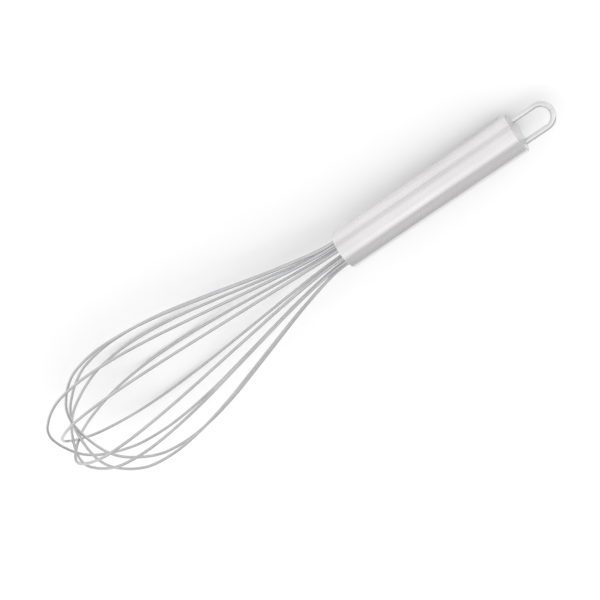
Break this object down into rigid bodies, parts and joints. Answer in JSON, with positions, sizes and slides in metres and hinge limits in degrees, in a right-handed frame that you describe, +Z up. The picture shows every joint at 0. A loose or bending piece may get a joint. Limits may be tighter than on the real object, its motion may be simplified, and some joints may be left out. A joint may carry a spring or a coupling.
{
  "type": "balloon whisk",
  "caption": "Hand whisk with nested teardrop wires, a straight tubular handle and a hanging loop on its domed end.",
  "frame": {"origin": "on the surface that the whisk lies on, under the middle of its box", "axes": "+X runs from the balloon's tip to the hanging loop, +Z is up with the handle's rim and the balloon's lowest wires on the surface"},
  "size_m": [0.3144, 0.0752, 0.066],
  "materials": {
    "brushed_tube": "satin, brushed along its length",
    "satin_cap": "satin",
    "polished_rod": "polished",
    "weld_metal": "as welded",
    "plug_plastic": "moulded, matt",
    "resin": "cast",
    "core_metal": "turned",
    "sleeve_metal": "drawn and crimped",
    "anchor_metal": "punched",
    "spring_wire": "drawn and polished"
  },
  "bodies": {
    "root": {"handle_tube": "brushed_tube", "end_cap": "satin_cap", "hanging_loop": "polished_rod", "loop_welds": "weld_metal", "mouth_plug": "plug_plastic", "sealing_resin": "resin", "core_spacer": "core_metal", "crimp_sleeve": "sleeve_metal", "anchor_disc": "anchor_metal", "wire_loop_1": "spring_wire", "wire_loop_2": "spring_wire", "wire_loop_3": "spring_wire", "wire_loop_4": "spring_wire", "wire_loop_5": "spring_wire", "wire_loop_6": "spring_wire"}
  },
  "joints": []
}
